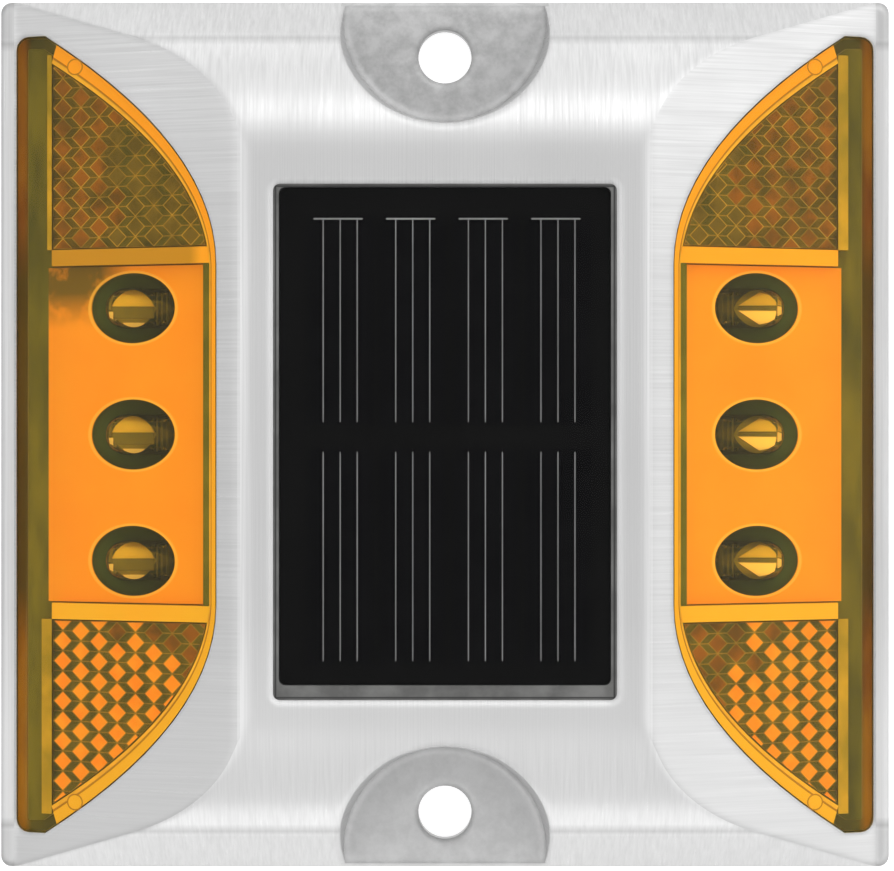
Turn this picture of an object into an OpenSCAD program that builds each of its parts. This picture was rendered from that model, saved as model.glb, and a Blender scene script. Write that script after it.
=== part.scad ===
// Solar road stud: a cast aluminium marker with a lit amber lens on each side.
// +Z is up, +X runs across the two lenses, and the origin is the middle of the underside.

/* [Body] */
// Length across the two lenses
body_w = 110; // [109:0.5:112]
// Width across the two anchor lugs
body_d = 107; // [106:0.5:109]
// Height of the flat top
body_h = 23; // [22.5:0.1:24]
// Height of the thin edge outside each lens
edge_h = 2.9; // [2.8:0.1:3.2]
// Slope of the two lens faces, in degrees
bevel_angle = 35; // [34.5:0.1:35.5]
// Radius of the rounded shoulders over the lugs
shoulder_r = 16; // [15:0.5:17]
// Plan radius of the four corners
corner_r = 1.3; // [1:0.1:2]

/* [Anchor lugs] */
// Distance between the two screw holes
anchor_spacing = 93.5; // [92.5:0.1:94]
// Diameter of each screw hole
anchor_d = 6.6; // [5.5:0.1:7]
// Thickness of each lug
lug_t = 4; // [3.6:0.1:4.4]
// Radius of each half-round pocket at its floor
pocket_r = 12.5; // [12:0.1:12.6]

/* [Solar panel] */
// Length of the panel
panel_l = 60; // [58:0.5:60]
// Width of the panel
panel_w = 40; // [38:0.5:40]
// Depth of the recess that holds the panel
recess_depth = 2.2; // [2.1:0.1:2.3]
// Columns of cells
cell_columns = 4; // [3:1:4]

/* [Lenses] */
// Distance from the middle to the straight edge of a lens
lens_in = 27.6; // [27.4:0.1:27.8]
// Thickness of the lens wall, square to its face
lens_t = 1.2; // [1:0.1:1.4]
// Depth of the light tray under the lens face
tray_depth = 3; // [2.9:0.1:3.1]
// Distance between neighbouring lamps
led_pitch = 15.5; // [15:0.1:15.5]
// Diameter of the cup around each lamp
cup_d = 8.6; // [8.5:0.1:8.8]

/* [Electrics] */
// Diameter of the battery
battery_d = 14.2; // [13.8:0.1:14.4]
// Length of the battery
battery_l = 29; // [28:0.5:30]
// Diameter of each wire
wire_d = 0.9; // [0.8:0.1:1]
// Travel of the power switch
switch_travel = 1.2; // [0.8:0.1:1.3]

/* [Hidden] */
$fn = 48;
eps = 0.01;

// Body profile
side_edge_h = 3;            // height of the vertical edge over the lugs
side_flat = 34;             // half width of the flat top, from shoulder to shoulder
ledge_w = 1.6;              // flat ledge between the outer edge and the lens face
crest_r = 4;                // rounding where the flat top meets a lens face
slope = tan(bevel_angle);
bevel_x = body_w / 2 - ledge_w;
crest_x = bevel_x - (body_h - edge_h) / slope;
shoulder_z = body_h - shoulder_r;
pocket_y = 51.2;            // middle of the half-round pocket over a lug
pocket_flare = 1.5;         // what the pocket gains in radius on its way up
slab_x = [20, bevel_x - 0.05];      // where slabs that follow the lens face begin and end

// Hollow underneath
cavity_w = 45;
cavity_d = 64;
cavity_top = 18.8;
cover_w = 49;
cover_d = 77;
cover_t = 2;
cover_gap = 0.15;
cover_r = 3;
gasket_size = [48.2, 66.4];
gasket_w = 1.2;
gasket_t = 0.8;
cover_screw_x = 19;
cover_screw_y = 35.2;
screw_r = 1.5;

// Panel
recess_w = panel_w + 1.4;
recess_l = panel_l + 2.2;
recess_y = -0.9;            // the recess sits a little towards -Y
panel_y = -0.2;
recess_z = body_h - recess_depth;
substrate_t = 1;
cell_t = 0.3;
finger_t = 0.06;
panel_top = body_h - 0.15;
sealant_top = body_h - 0.45;
cell_w = 8;
cell_gap = 0.75;
cell_x = 0.5;
cell_rows = [[-14.7, 26], [13.7, 25.2]];     // middle and length of each row of cells
finger_w = 0.12;
finger_step = 2.05;
finger_end = 0.4;           // from the end of a cell to the end of its fingers
bus_w = 0.2;
bus_l = 5.9;
bus_left = 3.2;             // how far the bar reaches to the left of the middle finger
panel_hole_r = 2.2;
panel_hole = [6, 22];

// Lens
lens_out = bevel_x - 0.3;   // outer straight edge
lens_y = 49.2;              // half length
lens_flat = 20.6;           // half length of the straight inner edge
lens_curve = 0.0266;        // how fast the edge curves away past the straight part
lens_gap = 0.15;
lens_corner = 1.6;
rim_t = 0.8;                // rim along the straight edge
rim_grow = 1.5;             // what the rim gains by the end of its curve
outer_wall_t = 0.6;
rib_in = 20.8;
rib_t = 2;
floor_z = 1.8;
seal_t = 0.4;
seal_w = 1.2;
skirt_z = floor_z + seal_t;
inner_wall_x = 48.6;
inner_wall_t = 0.6;
insert_gap = 0.15;
insert_t = 2;

// Lamps
tray_t = 1.2;
tray_in = 29.35;
tray_out = 49.3;
tray_half_y = 20.65;
led_tilt = 6.3;
cup_x = 38.3;               // where the cup's axis meets the tray face
cup_wall = 0.8;
led_r = 2.5;
led_flange_r = 2.9;
led_flange_t = 1;
led_straight = 6.1;
led_sink = 1.72;            // how far a lamp's axis lies below its cup's axis
led_clear = 0.08;           // between a lamp's dome and the inside of the lens
led_lean = bevel_angle + led_tilt;
led_reach = (tray_depth - lens_t + led_sink * cos(led_lean) - led_r - led_clear) / sin(led_lean)
    - led_straight;
led_base = [
    cup_x + led_sink * sin(led_tilt) + led_reach * cos(led_tilt),
    bevel_z(cup_x) - drop(tray_depth) - led_sink * cos(led_tilt) + led_reach * sin(led_tilt)
];
led_board_t = 1;
led_board_x = led_base[0] - led_flange_r * sin(led_tilt) - 0.03 - led_board_t;
cup_start_x = led_base[0] + led_flange_r * sin(led_tilt) + led_flange_t * cos(led_tilt) + 0.2;
led_board_h = 9;
led_board_half_y = 20;

// Wires and grommets
grommet_y = -12;
grommet_z = 5.5;
grommet_r = 2;
grommet_bore = 1.15;
wire_r = wire_d / 2;
wire_sides = 8;

// Board
board_z = 12;
board_t = 1.2;
board_x = [-3, 21];
board_half_y = 28;
board_top = board_z + board_t;
boss_x = [0, 18];
boss_y = 25;
boss_r = 2.2;
board_screw_r = 0.9;
chip_pos = [8, -2];
inductor_pos = [14, 8];
capacitor_pos = [3, 8];
resistor_pos = [12.5, -16];
resistor_step = 3;

// Battery
battery_pos = [-14, 8, 10.3];
cradle_z = 2.2;

// Switch
switch_pos = [9, -14];
switch_w = 8;
switch_bottom = 6;
button_r = 2.6;
button_z = 0.5;
button_top = 4.6;
button_flange_r = 3.6;
button_flange_t = 0.7;
boss_top = button_top - button_flange_t - 0.1;
slide_gap = 0.3;
stem_r = 1.2;
stem_top = 7;

// ---------- shared shapes ----------

function bevel_z(x) = edge_h + (bevel_x - x) * slope;
function drop(t) = t / cos(bevel_angle);

function arc(cx, cy, r, from, to, n) =
    [for (i = [0:n]) let (a = from + (to - from) * i / n) [cx + r * cos(a), cy + r * sin(a)]];

function rounded_rect(w, d, r, n = 5) = concat(
    arc(w / 2 - r, d / 2 - r, r, 0, 90, n),
    arc(r - w / 2, d / 2 - r, r, 90, 180, n),
    arc(r - w / 2, r - d / 2, r, 180, 270, n),
    arc(w / 2 - r, r - d / 2, r, 270, 360, n)
);

module plate(w, d, r, z0, z1) {
    translate([0, 0, z0])
        linear_extrude(z1 - z0)
            polygon(rounded_rect(w, d, r));
}

// Extrudes an outline drawn in X and Z along the Y axis, both ways from the middle
module along_y(length) {
    rotate([90, 0, 0])
        linear_extrude(length, center = true)
            children();
}

// Extrudes an outline drawn in Y and Z along the X axis, both ways from the middle
module along_x(length) {
    rotate([90, 0, 90])
        linear_extrude(length, center = true)
            children();
}

module both_sides_y() {
    children();
    mirror([0, 1, 0])
        children();
}

// Points that round the crest between the flat top and the right-hand lens face
function crest_arc(n) = let (back = crest_r * tan(bevel_angle / 2))
    arc(crest_x - back, body_h - crest_r, crest_r, 90 - bevel_angle, 90, n);

// Points up the straight flank and round the shoulder on the +Y side
function shoulder_arc(n) =
    let (run = body_d / 2 - side_flat, rise = side_edge_h - shoulder_z)
    let (distance = norm([run, rise]))
    let (start = atan2(rise, run) + acos(shoulder_r / distance))
    arc(side_flat, shoulder_z, shoulder_r, start, 90, n);

function mirrored(points) = [for (i = [len(points) - 1:-1:0]) [-points[i][0], points[i][1]]];

module bevel_profile() {
    right = concat([[body_w / 2, 0], [body_w / 2, edge_h], [bevel_x, edge_h]], crest_arc(6));
    polygon(concat(right, mirrored(right)));
}

module shoulder_profile() {
    right = concat([[body_d / 2, 0], [body_d / 2, side_edge_h]], shoulder_arc(14));
    polygon(concat(right, mirrored(right)));
}

// Slab that follows the right-hand lens face, between two depths below it
module bevel_slab(top, bottom, x0, x1, length) {
    along_y(length)
        polygon([
            [x0, bevel_z(x0) - drop(top)],
            [x1, bevel_z(x1) - drop(top)],
            [x1, bevel_z(x1) - drop(bottom)],
            [x0, bevel_z(x0) - drop(bottom)]
        ]);
}

// Everything from z0 up to a given depth below the right-hand lens face
module under_bevel(top, z0, x0 = slab_x[0], x1 = slab_x[1]) {
    along_y(2 * body_d)
        polygon([
            [x0, z0],
            [x1, z0],
            [x1, max(bevel_z(x1) - drop(top), z0 + eps)],
            [x0, bevel_z(x0) - drop(top)]
        ]);
}

// Plan outline of the right-hand lens, drawn in by an amount that may grow along the curved edge
function lens_edge(y, inset) =
    let (past = max(0, y - lens_flat), lean = 2 * lens_curve * past)
    lens_in + lens_curve * past * past + inset * sqrt(1 + lean * lean);

function lens_half(inset, grow, n) =
    let (end = lens_y - inset - grow, corner = max(lens_corner - inset - grow, 0.3))
    concat(
        [for (i = [0:n]) let (y = lens_flat + (end - lens_flat) * i / n)
            [lens_edge(y, inset + grow * i / n), y]],
        arc(lens_out - inset - corner, end - corner, corner, 90, 0, 4)
    );

function flipped(points) = [for (i = [len(points) - 1:-1:0]) [points[i][0], -points[i][1]]];

function lens_outline(inset, grow = 0, n = 14) =
    let (half = lens_half(inset, grow, n))
    concat(half, flipped(half));

// ---------- wires ----------

function between(p, a, b, c, d) =
    0.5 * (2 * b + (c - a) * p + (2 * a - 5 * b + 4 * c - d) * p * p
        + (3 * b - a - 3 * c + d) * p * p * p);

// A smooth curve through hand-chosen points, with a few steps between each pair
function smooth(points, steps) = let (last = len(points) - 1) concat(
    [for (i = [0:last - 1], s = [0:steps - 1])
        between(s / steps, points[max(i - 1, 0)], points[i], points[i + 1],
            points[min(i + 2, last)])],
    [points[last]]
);

function unit(v) = v / norm(v);

// The way a path runs at one of its points; its two ends follow the first and last chosen points
function heading(path, points, i) = let (last = len(points) - 1)
    i == 0 ? unit(points[1] - points[0])
    : i == len(path) - 1 ? unit(points[last] - points[last - 1])
    : unit(path[i + 1] - path[i - 1]);

module wire(points, steps = 4) {
    path = smooth(points, steps);
    rings = len(path);
    skin = [for (i = [0:rings - 1])
        let (ahead = heading(path, points, i), across = unit(cross(ahead, [0.3, 0.2, 0.93])))
        let (up = cross(ahead, across))
        for (k = [0:wire_sides - 1])
            path[i] + wire_r * (across * cos(360 * k / wire_sides) + up * sin(360 * k / wire_sides))];
    sides = [for (i = [0:rings - 2], k = [0:wire_sides - 1])
        let (next = (k + 1) % wire_sides, a = i * wire_sides)
        [a + k, a + wire_sides + k, a + wire_sides + next, a + next]];
    start_cap = [for (k = [0:wire_sides - 1]) k];
    end_cap = [for (k = [wire_sides - 1:-1:0]) (rings - 1) * wire_sides + k];
    polyhedron(skin, concat(sides, [start_cap, end_cap]), convexity = 4);
}

// ---------- housing and cover ----------

module lug_pocket() {
    translate([0, pocket_y, lug_t])
        cylinder(h = body_h, r1 = pocket_r, r2 = pocket_r + pocket_flare);
    translate([0, anchor_spacing / 2, -1])
        cylinder(h = body_h, d = anchor_d);
}

module lens_pocket() {
    translate([0, 0, floor_z])
        linear_extrude(body_h)
            polygon(lens_outline(0));
    translate([cavity_w / 2 - 1, grommet_y, grommet_z])
        rotate([0, 90, 0])
            cylinder(h = 8, r = grommet_r);
}

module cover_screw_places() {
    for (sx = [-1, 1], sy = [-1, 1])
        translate([sx * cover_screw_x, sy * cover_screw_y, 0])
            children();
}

module board_boss_places() {
    for (x = boss_x, sy = [-1, 1])
        translate([x, sy * boss_y, 0])
            children();
}

module housing() {
    color([0.84, 0.85, 0.86])
    difference() {
        union() {
            difference() {
                intersection() {
                    along_y(body_d)
                        bevel_profile();
                    along_x(body_w)
                        shoulder_profile();
                    plate(body_w, body_d, corner_r, -1, body_h + 1);
                }
                plate(cavity_w, cavity_d, 2, -1, cavity_top);
            }
            board_boss_places()
                translate([0, 0, board_top])
                    cylinder(h = cavity_top + 0.5 - board_top, r = boss_r);
        }
        plate(cover_w, cover_d, cover_r, -1, cover_t);
        translate([0, recess_y, 0])
            plate(recess_w, recess_l, 0.8, recess_z, body_h + 1);
        translate([panel_hole[0], panel_hole[1], cavity_top - 1])
            cylinder(h = 6, r = panel_hole_r);
        both_sides_y()
            lug_pocket();
        lens_pocket();
        mirror([1, 0, 0])
            lens_pocket();
        cover_screw_places()
            cylinder(h = 10, r = screw_r);
        board_boss_places()
            translate([0, 0, board_top - 1])
                cylinder(h = 5, r = board_screw_r);
    }
}

module countersink(clearance) {
    translate([0, 0, 0.2 - clearance])
        cylinder(h = 1.4, r1 = 2.9 + clearance, r2 = screw_r + clearance);
}

module base_cover() {
    groove_w = 2;
    groove_d = 0.7;
    color([0.16, 0.16, 0.17])
    difference() {
        union() {
            plate(cover_w - 2 * cover_gap, cover_d - 2 * cover_gap, cover_r, 0, cover_t);
            translate([switch_pos[0], switch_pos[1], cover_t - eps])
                cylinder(h = boss_top - cover_t + eps, r = 5.5);
        }
        translate([0, 0, cover_t - gasket_t])
            gasket_ring(3);
        cover_screw_places() {
            translate([0, 0, -1])
                cylinder(h = 4, r = screw_r + 0.1);
            countersink(0.05);
            translate([0, 0, -1])
                cylinder(h = 1.16, r = 2.95);
        }
        translate([switch_pos[0], switch_pos[1], -1])
            cylinder(h = 8, r = button_r + slide_gap);
        for (y = [-24, 4, 12, 20, 28])
            translate([-18, y - groove_w / 2, -1])
                cube([36, groove_w, 1 + groove_d]);
    }
}

module gasket_ring(height) {
    linear_extrude(height)
        difference() {
            polygon(rounded_rect(gasket_size[0], gasket_size[1], 2.4));
            polygon(rounded_rect(gasket_size[0] - 2 * gasket_w, gasket_size[1] - 2 * gasket_w, 1.6));
        }
}

module base_gasket() {
    color([0.1, 0.1, 0.1])
    translate([0, 0, cover_t - gasket_t])
        gasket_ring(gasket_t);
}

module base_screws() {
    color([0.75, 0.75, 0.77])
    cover_screw_places()
        difference() {
            union() {
                countersink(0);
                translate([0, 0, 1])
                    cylinder(h = 8.4, r = screw_r - 0.05);
            }
            for (turn = [0, 90])
                rotate([0, 0, turn])
                    translate([-1.5, -0.3, -1])
                        cube([3, 0.6, 2]);
        }
}

// ---------- solar panel ----------

module panel_block(z0, z1, inset = 0) {
    translate([0, panel_y, 0])
        plate(panel_w - 2 * inset, panel_l - 2 * inset, 0.8, z0, z1);
}

module panel_substrate() {
    color([0.12, 0.2, 0.14])
    panel_block(recess_z, recess_z + substrate_t);
}

function cell_middle(column) = cell_x + (column - (cell_columns - 1) / 2) * (cell_w + cell_gap);

module cell_shape(height) {
    for (column = [0:cell_columns - 1], row = cell_rows)
        translate([cell_middle(column) - cell_w / 2, row[0] - row[1] / 2, recess_z + substrate_t])
            cube([cell_w, row[1], height]);
}

module solar_cells() {
    color([0.05, 0.05, 0.07])
    cell_shape(cell_t);
}

module finger_shape(height) {
    z = recess_z + substrate_t + cell_t;
    for (column = [0:cell_columns - 1], row = cell_rows, k = [-1:1])
        translate([cell_middle(column) + k * finger_step - finger_w / 2,
            row[0] - row[1] / 2 + finger_end, z])
            cube([finger_w, row[1] - 2 * finger_end, height]);
    for (column = [0:cell_columns - 1])
        translate([cell_middle(column) - bus_left,
            cell_rows[1][0] + cell_rows[1][1] / 2 - finger_end, z])
            cube([bus_l, bus_w, height]);
}

module cell_fingers() {
    color([0.8, 0.8, 0.8])
    finger_shape(finger_t);
}

module panel_resin() {
    color([0.04, 0.04, 0.05])
    difference() {
        panel_block(recess_z + substrate_t, panel_top);
        cell_shape(cell_t);
        finger_shape(finger_t);
    }
}

module panel_sealant() {
    color([0.35, 0.35, 0.34])
    difference() {
        translate([0, recess_y, 0])
            plate(recess_w - 0.02, recess_l - 0.02, 0.8, recess_z, sealant_top);
        panel_block(recess_z - 1, body_h + 1, -0.02);
    }
}

module panel_wires() {
    color([0.6, 0.1, 0.1])
    for (side = [-1, 1])
        translate([panel_hole[0] + side, panel_hole[1], board_top])
            cylinder(h = recess_z - board_top, r = wire_r);
}

// ---------- lenses ----------

// The lens's rim, outer wall, two ribs and two inner walls, as tall as the body
module lens_walls() {
    linear_extrude(body_h) {
        difference() {
            polygon(lens_outline(lens_gap));
            polygon(lens_outline(lens_gap + rim_t, rim_grow));
            translate([inner_wall_x, -body_d / 2])
                square([body_w, body_d]);
        }
        difference() {
            polygon(lens_outline(lens_gap));
            polygon(lens_outline(lens_gap + outer_wall_t));
        }
    }
    both_sides_y()
        translate([lens_in + lens_gap, rib_in, 0])
            cube([inner_wall_x - lens_in, rib_t, body_h]);
    both_sides_y()
        translate([inner_wall_x, rib_in, 0])
            cube([inner_wall_t, lens_y - rib_in - 1, body_h]);
}

module lens_shape() {
    difference() {
        intersection() {
            translate([0, 0, skirt_z])
                linear_extrude(body_h)
                    polygon(lens_outline(lens_gap));
            union() {
                bevel_slab(0, lens_t, slab_x[0], slab_x[1], 2 * body_d);
                intersection() {
                    lens_walls();
                    under_bevel(lens_t / 2, skirt_z);
                }
            }
        }
        translate([lens_in - 1, grommet_y - grommet_r - 0.5, 0])
            cube([3, 2 * grommet_r + 1, grommet_z + grommet_r + 0.5]);
    }
}

module lens_right() {
    color([0.95, 0.6, 0.08, 0.55])
    lens_shape();
}

module lens_left() {
    color([0.95, 0.6, 0.08, 0.55])
    mirror([1, 0, 0])
        lens_shape();
}

module insert_shape() {
    both_sides_y()
        intersection() {
            bevel_slab(lens_t + insert_gap, lens_t + insert_gap + insert_t, slab_x[0], slab_x[1], 2 * body_d);
            linear_extrude(body_h)
                polygon(lens_outline(lens_gap + rim_t + insert_gap, rim_grow));
            translate([0, rib_in + rib_t + insert_gap, skirt_z])
                cube([inner_wall_x - insert_gap, body_d, body_h]);
        }
}

module reflex_insert_right() {
    color([0.8, 0.45, 0.1])
    insert_shape();
}

module reflex_insert_left() {
    color([0.8, 0.45, 0.1])
    mirror([1, 0, 0])
        insert_shape();
}

// ---------- lamps ----------

module led_places() {
    for (k = [-1:1])
        translate([0, k * led_pitch, 0])
            children();
}

module cup_axis(x) {
    along = (x - cup_x) * tan(led_tilt);
    translate([x, 0, bevel_z(cup_x) - drop(tray_depth) + along])
        rotate([0, 90 - led_tilt, 0])
            children();
}

module tray_shape() {
    difference() {
        union() {
            intersection() {
                bevel_slab(tray_depth, tray_depth + tray_t, tray_in, tray_out, 2 * tray_half_y);
                translate([0, -50, skirt_z])
                    cube([60, 100, body_h]);
            }
            intersection() {
                led_places()
                    cup_axis(cup_start_x)
                        cylinder(h = 14, d = cup_d + 2 * cup_wall);
                under_bevel(tray_depth + tray_t / 2, skirt_z, slab_x[0], tray_out - 1);
            }
        }
        led_places()
            cup_axis(cup_start_x - 4)
                cylinder(h = 26, d = cup_d);
    }
}

module led_tray_right() {
    color([1, 0.55, 0.12])
    tray_shape();
}

module led_tray_left() {
    color([1, 0.55, 0.12])
    mirror([1, 0, 0])
        tray_shape();
}

module lamps() {
    led_places()
        translate([led_base[0], 0, led_base[1]])
            rotate([0, 90 - led_tilt, 0])
                rotate_extrude()
                    polygon(concat(
                        [[0, 0], [led_flange_r, 0], [led_flange_r, led_flange_t],
                            [led_r, led_flange_t]],
                        arc(0, led_straight, led_r, 0, 90, 8)
                    ));
}

module leds_right() {
    color([0.9, 0.75, 0.3, 0.7])
    lamps();
}

module leds_left() {
    color([0.9, 0.75, 0.3, 0.7])
    mirror([1, 0, 0])
        lamps();
}

module led_board_shape() {
    translate([led_board_x, -led_board_half_y, skirt_z])
        cube([led_board_t, 2 * led_board_half_y, led_board_h]);
}

module led_board_right() {
    color([0.1, 0.35, 0.2])
    led_board_shape();
}

module led_board_left() {
    color([0.1, 0.35, 0.2])
    mirror([1, 0, 0])
        led_board_shape();
}

module seal_shape() {
    translate([0, 0, floor_z])
        linear_extrude(seal_t)
            difference() {
                polygon(lens_outline(lens_gap));
                polygon(lens_outline(lens_gap + seal_w));
            }
}

// Layer of potting resin on the floor of the lens pocket, inside the seal
module potting_shape() {
    translate([0, 0, floor_z])
        linear_extrude(seal_t)
            polygon(lens_outline(lens_gap + seal_w + 0.05));
}

module lens_potting_right() {
    color([0.2, 0.22, 0.12])
    potting_shape();
}

module lens_potting_left() {
    color([0.2, 0.22, 0.12])
    mirror([1, 0, 0])
        potting_shape();
}

module lens_seal_right() {
    color([0.3, 0.17, 0.08])
    seal_shape();
}

module lens_seal_left() {
    color([0.3, 0.17, 0.08])
    mirror([1, 0, 0])
        seal_shape();
}

module grommet_shape() {
    translate([cavity_w / 2 - 1.2, grommet_y, grommet_z])
        rotate([0, 90, 0])
            rotate_extrude()
                polygon([
                    [grommet_bore, 0], [grommet_r + 0.9, 0], [grommet_r + 0.9, 1.15],
                    [grommet_r - 0.02, 1.15], [grommet_r - 0.02, 6.6], [grommet_bore, 6.6]
                ]);
}

module wire_grommet_right() {
    color([0.1, 0.1, 0.1])
    grommet_shape();
}

module wire_grommet_left() {
    color([0.1, 0.1, 0.1])
    mirror([1, 0, 0])
        grommet_shape();
}

module led_wires_right() {
    color([0.7, 0.1, 0.1])
    for (side = [-1, 1])
        wire([
            [led_board_x, grommet_y + side * 0.55, grommet_z],
            [26, grommet_y + side * 0.55, grommet_z],
            [22, grommet_y + side * 0.55, grommet_z],
            [19, grommet_y + side * 0.7, 7],
            [17, grommet_y + side, 9.5],
            [16, grommet_y + side * 1.2, 11.2],
            [16, grommet_y + side * 1.2, board_z]
        ]);
}

module led_wires_left() {
    color([0.7, 0.1, 0.1])
    for (side = [-1, 1])
        wire([
            [-led_board_x, grommet_y + side * 0.55, grommet_z],
            [-26, grommet_y + side * 0.55, grommet_z],
            [-21, grommet_y + side * 0.55, grommet_z],
            [-14, grommet_y - 1 + side * 0.6, 5.5],
            [-6, grommet_y - 4 + side * 0.7, 6.5],
            [-1, grommet_y - 6 + side, 9],
            [0, grommet_y - 7 + side * 1.2, 11.2],
            [0, grommet_y - 7 + side * 1.2, board_z]
        ]);
}

// ---------- control board ----------

module control_board() {
    color([0.08, 0.4, 0.2])
    difference() {
        translate([board_x[0], -board_half_y, board_z])
            cube([board_x[1] - board_x[0], 2 * board_half_y, board_t]);
        board_boss_places()
            translate([0, 0, board_z - 1])
                cylinder(h = 4, r = board_screw_r + 0.2);
    }
}

module board_screws() {
    color([0.7, 0.7, 0.72])
    board_boss_places()
        difference() {
            union() {
                translate([0, 0, board_z - 1.1])
                    cylinder(h = 1.1, r = 1.8);
                translate([0, 0, board_z - 0.5])
                    cylinder(h = 4.6, r = board_screw_r - 0.05);
            }
            for (turn = [0, 90])
                rotate([0, 0, turn])
                    translate([-1.1, -0.2, board_z - 1.6])
                        cube([2.2, 0.4, 1]);
        }
}

module control_chip() {
    leg = 0.42;
    color([0.1, 0.1, 0.1])
    translate([chip_pos[0], chip_pos[1], board_top]) {
        translate([-2, -2.5, 0.15])
            cube([4, 5, 1.5]);
        for (side = [-1, 1], k = [-1.5:1.5])
            translate([side * 2.5 - 0.6, k * 1.27 - leg / 2, 0])
                cube([1.2, leg, 0.3]);
    }
}

module inductor() {
    color([0.2, 0.2, 0.22])
    translate([inductor_pos[0], inductor_pos[1], board_top])
        rotate_extrude()
            polygon([[0, 0], [3, 0], [3, 0.8], [2.2, 0.8], [2.2, 3.4], [3, 3.4], [3, 4.2], [0, 4.2]]);
}

module capacitor() {
    color([0.25, 0.3, 0.5])
    translate([capacitor_pos[0], capacitor_pos[1], board_top])
        rotate_extrude()
            polygon([[0, 0], [2.5, 0], [2.5, 0.6], [2.3, 0.8], [2.5, 1], [2.5, 4.7], [2.2, 5], [0, 5]]);
}

module resistors() {
    color([0.3, 0.25, 0.2])
    for (k = [0:5])
        translate([resistor_pos[0], resistor_pos[1] + k * resistor_step, board_top])
            cube([3.2, 1.6, 0.6]);
}

// ---------- battery ----------

module battery_axis(y) {
    translate([battery_pos[0], battery_pos[1] + y, battery_pos[2]])
        rotate([-90, 0, 0])
            children();
}

module battery() {
    color([0.1, 0.45, 0.25])
    battery_axis(-battery_l / 2)
        rotate_extrude()
            polygon([
                [0, 0], [battery_d / 2 - 0.5, 0], [battery_d / 2, 0.5], [battery_d / 2, battery_l - 0.5],
                [battery_d / 2 - 0.5, battery_l], [0, battery_l]
            ]);
}

module battery_terminal() {
    color([0.8, 0.8, 0.8])
    battery_axis(battery_l / 2)
        rotate_extrude()
            polygon([[0, 0], [2.8, 0], [2.6, 1], [0, 1]]);
}

module battery_cradle() {
    wall = 1;
    color([0.85, 0.85, 0.82])
    difference() {
        for (y = [-9, 9])
            translate([battery_pos[0] - battery_d / 2 - wall, battery_pos[1] + y - 2, cradle_z])
                cube([battery_d + 2 * wall, 4, battery_pos[2] - cradle_z]);
        battery_axis(-battery_l)
            cylinder(h = 2 * battery_l, d = battery_d + 0.1);
    }
}

module battery_wires() {
    color([0.7, 0.1, 0.1]) {
        wire([
            [-14, 23.5, 10.3], [-14, 24.5, 10.3], [-12.5, 26.5, 12], [-7, 25, 15.6], [-1.5, 18, 16],
            [0, 15, 14.6], [0, 15, board_top]
        ]);
        wire([
            [-14, -6.5, 10.3], [-14, -7.5, 10.3], [-12, -9.5, 12], [-6, -10, 15.6], [-1.2, -8, 16],
            [0, -6, 14.6], [0, -6, board_top]
        ]);
    }
}

// ---------- power switch ----------

module at_switch(z) {
    translate([switch_pos[0], switch_pos[1], z])
        children();
}

module switch_body() {
    color([0.15, 0.15, 0.16])
    difference() {
        at_switch((switch_bottom + board_z) / 2)
            cube([switch_w, switch_w, board_z - switch_bottom], center = true);
        at_switch(switch_bottom - 1)
            cylinder(h = 1 + stem_top + switch_travel + 0.4 - switch_bottom, r = stem_r + 0.15);
    }
}

module switch_stem() {
    color([0.9, 0.9, 0.9])
    at_switch(button_top)
        cylinder(h = stem_top - button_top, r = stem_r);
}

module switch_button() {
    color([0.08, 0.08, 0.08])
    at_switch(0)
        rotate_extrude()
            polygon([
                [0, button_z + 0.3], [1.2, button_z], [button_r - 0.4, button_z],
                [button_r, button_z + 0.4], [button_r, button_top - button_flange_t],
                [button_flange_r, button_top - button_flange_t], [button_flange_r, button_top],
                [0, button_top]
            ]);
}

housing();
base_cover();
base_gasket();
base_screws();
panel_substrate();
solar_cells();
cell_fingers();
panel_resin();
panel_sealant();
panel_wires();
lens_left();
lens_right();
reflex_insert_left();
reflex_insert_right();
led_tray_left();
led_tray_right();
leds_left();
leds_right();
led_board_left();
led_board_right();
lens_seal_left();
lens_seal_right();
lens_potting_left();
lens_potting_right();
wire_grommet_left();
wire_grommet_right();
led_wires_left();
led_wires_right();
control_board();
board_screws();
control_chip();
inductor();
capacitor();
resistors();
battery();
battery_terminal();
battery_cradle();
battery_wires();
switch_body();
switch_stem();
switch_button();
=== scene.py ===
"""Looks of the solar road stud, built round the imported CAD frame. All lengths are in metres."""
import math

import bmesh
import bpy
from mathutils import Matrix, Vector, noise


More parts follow.
